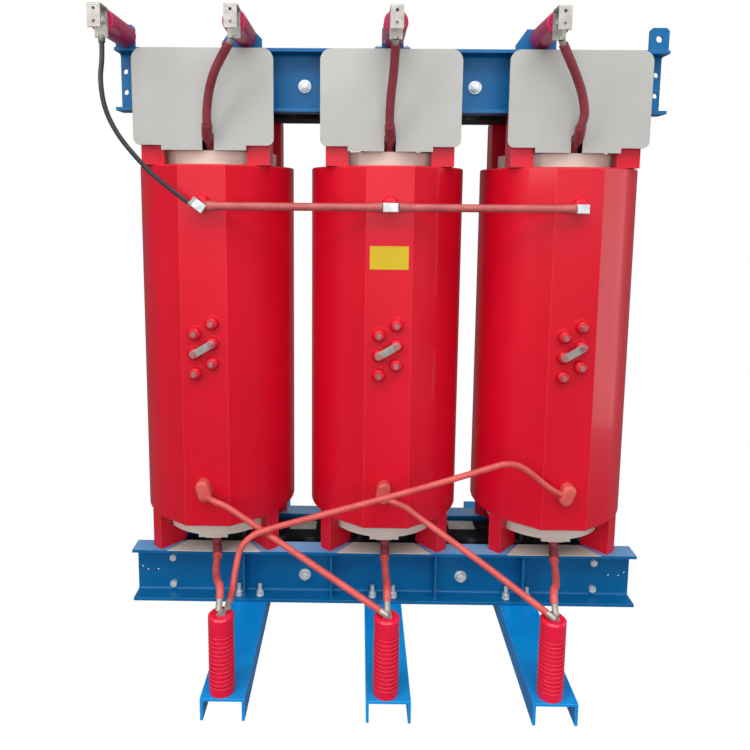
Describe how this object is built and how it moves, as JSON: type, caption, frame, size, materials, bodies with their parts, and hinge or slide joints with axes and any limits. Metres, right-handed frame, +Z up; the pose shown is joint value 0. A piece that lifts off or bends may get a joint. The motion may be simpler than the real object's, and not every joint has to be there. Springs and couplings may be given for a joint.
{
  "type": "dry type transformer",
  "caption": "Free-standing cast resin transformer: resin coils on a laminated core in a steel channel frame, with top terminals, a star bar and post insulators on its feet.",
  "frame": {"origin": "on the floor, under the middle of the middle core leg", "axes": "+X along the three coils, the terminals face -Y, +Z up"},
  "size_m": [1.494, 1.08, 1.711],
  "materials": {
    "coil_resin": "glossy cast epoxy",
    "post_resin": "glossy cast epoxy",
    "frame_paint": "satin enamel",
    "core_steel": "black varnished lamination edges",
    "galvanised": "zinc plated",
    "tinned_copper": "tinned",
    "pale_board": "satin sheet",
    "barrier_sheet": "satin sheet",
    "pressboard": "matte",
    "pink_sleeve": "shrunk sleeve",
    "dark_sleeve": "shrunk sleeve",
    "black_cable": "satin sheath",
    "yellow_plate": "bare plate"
  },
  "bodies": {
    "root": {"barrier_cylinder_left": "barrier_sheet", "barrier_cylinder_middle": "barrier_sheet", "barrier_cylinder_right": "barrier_sheet", "board_strips": "pale_board", "bottom_lead_left": "pink_sleeve", "bottom_lead_middle": "pink_sleeve", "bottom_lead_right": "pink_sleeve", "clamp_studs": "galvanised", "coil_plate": "yellow_plate", "core_leg_left": "core_steel", "core_leg_middle": "core_steel", "core_leg_right": "core_steel", "core_lower_yoke": "core_steel", "core_upper_yoke": "core_steel", "cross_lead_left": "pink_sleeve", "cross_lead_middle": "pink_sleeve", "cross_lead_right": "pink_sleeve", "cross_tie_bolts": "galvanised", "cross_ties": "frame_paint", "foot_left": "frame_paint", "foot_middle": "frame_paint", "foot_right": "frame_paint", "foot_studs": "galvanised", "inner_winding_left": "coil_resin", "inner_winding_middle": "coil_resin", "inner_winding_right": "coil_resin", "insulator_bolts": "galvanised", "insulator_plates": "frame_paint", "lead_boards": "pale_board", "leg_tie_plates": "core_steel", "lifting_lugs": "frame_paint", "lower_clamp_front": "frame_paint", "lower_clamp_rear": "frame_paint", "lower_support_blocks": "coil_resin", "neutral_cable": "black_cable", "neutral_cable_lug": "tinned_copper", "outer_winding_left": "coil_resin", "outer_winding_middle": "coil_resin", "outer_winding_right": "coil_resin", "post_insulator_left": "post_resin", "post_insulator_middle": "post_resin", "post_insulator_right": "post_resin", "post_lugs": "tinned_copper", "pressboard_pads": "pressboard", "star_bar_left": "pink_sleeve", "star_bar_right": "pink_sleeve", "star_bolts": "galvanised", "tap_bolts": "galvanised", "tap_links": "tinned_copper", "terminal_bars": "tinned_copper", "top_insulator_a": "post_resin", "top_insulator_b": "post_resin", "top_insulator_c": "post_resin", "top_insulator_n": "post_resin", "top_lead_a": "dark_sleeve", "top_lead_b": "dark_sleeve", "top_lead_c": "dark_sleeve", "upper_clamp_front": "frame_paint", "upper_clamp_rear": "frame_paint", "upper_press_blocks": "coil_resin"}
  },
  "joints": []
}
